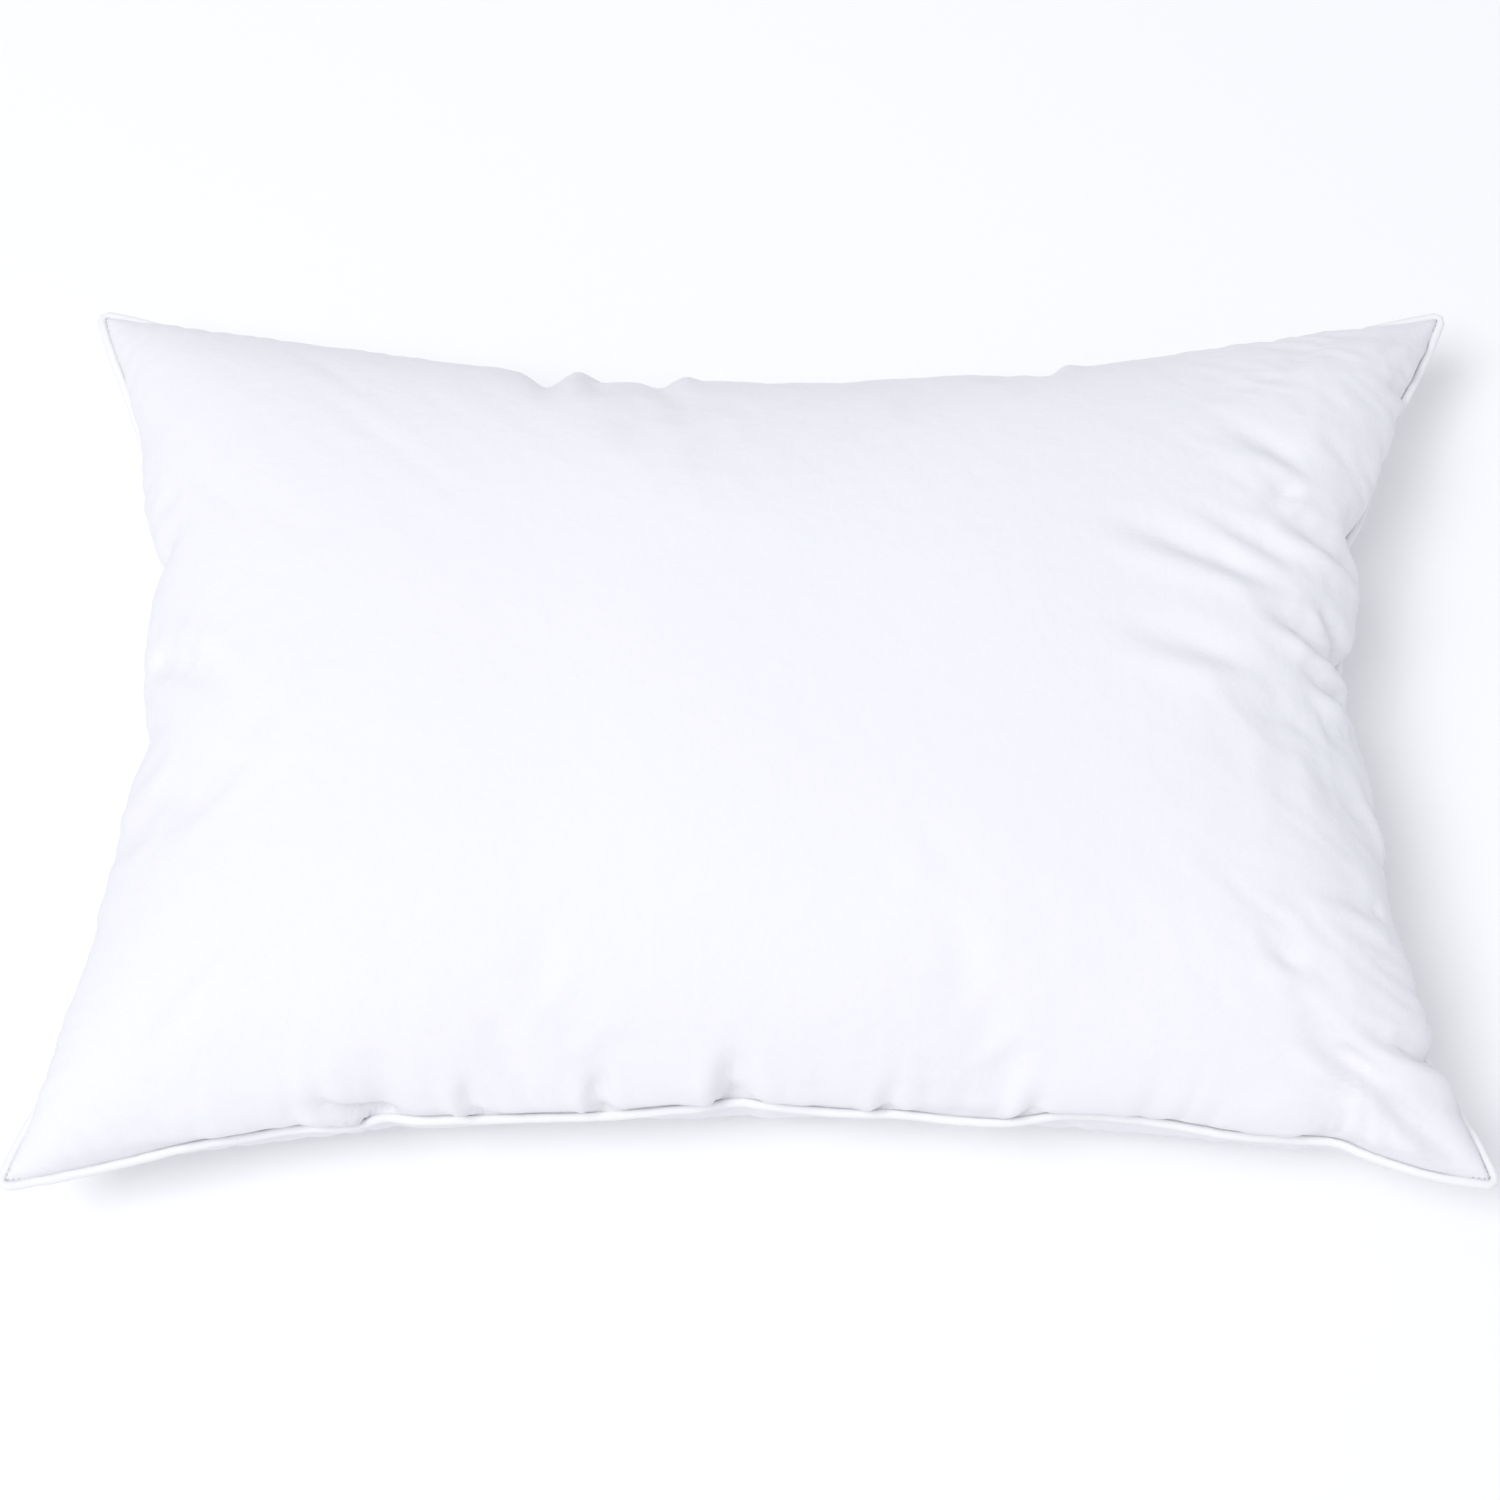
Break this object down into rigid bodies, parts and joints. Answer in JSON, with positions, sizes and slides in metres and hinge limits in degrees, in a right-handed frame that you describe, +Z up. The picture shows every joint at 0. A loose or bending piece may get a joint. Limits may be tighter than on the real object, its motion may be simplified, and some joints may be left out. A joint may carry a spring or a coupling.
{
  "type": "bed pillow",
  "caption": "Plump rectangular bed pillow with bowed sides, pointed corners and a corded edge, lying flat on a level rest face.",
  "frame": {"origin": "on the surface that the pillow lies on, under the middle of the pillow", "axes": "+X along the long sides, +Y along the short ends, +Z up through the thickness"},
  "size_m": [0.742, 0.4956, 0.1979],
  "materials": {
    "shell_cloth": "fine plain-weave cotton, soft matt sheen",
    "piping_cloth": "bias-cut cotton strip, matt",
    "filler_cord": "soft braided cotton cord",
    "thread": "spun polyester sewing thread",
    "fibre": "loose white hollow fibre"
  },
  "bodies": {
    "root": {"top_panel": "shell_cloth", "bottom_panel": "shell_cloth", "piping_cover": "piping_cloth", "piping_cord": "filler_cord", "seam_needle_thread": "thread", "seam_bobbin_thread": "thread", "overlock_thread": "thread", "closure_thread": "thread", "fibre_fill": "fibre"}
  },
  "joints": []
}
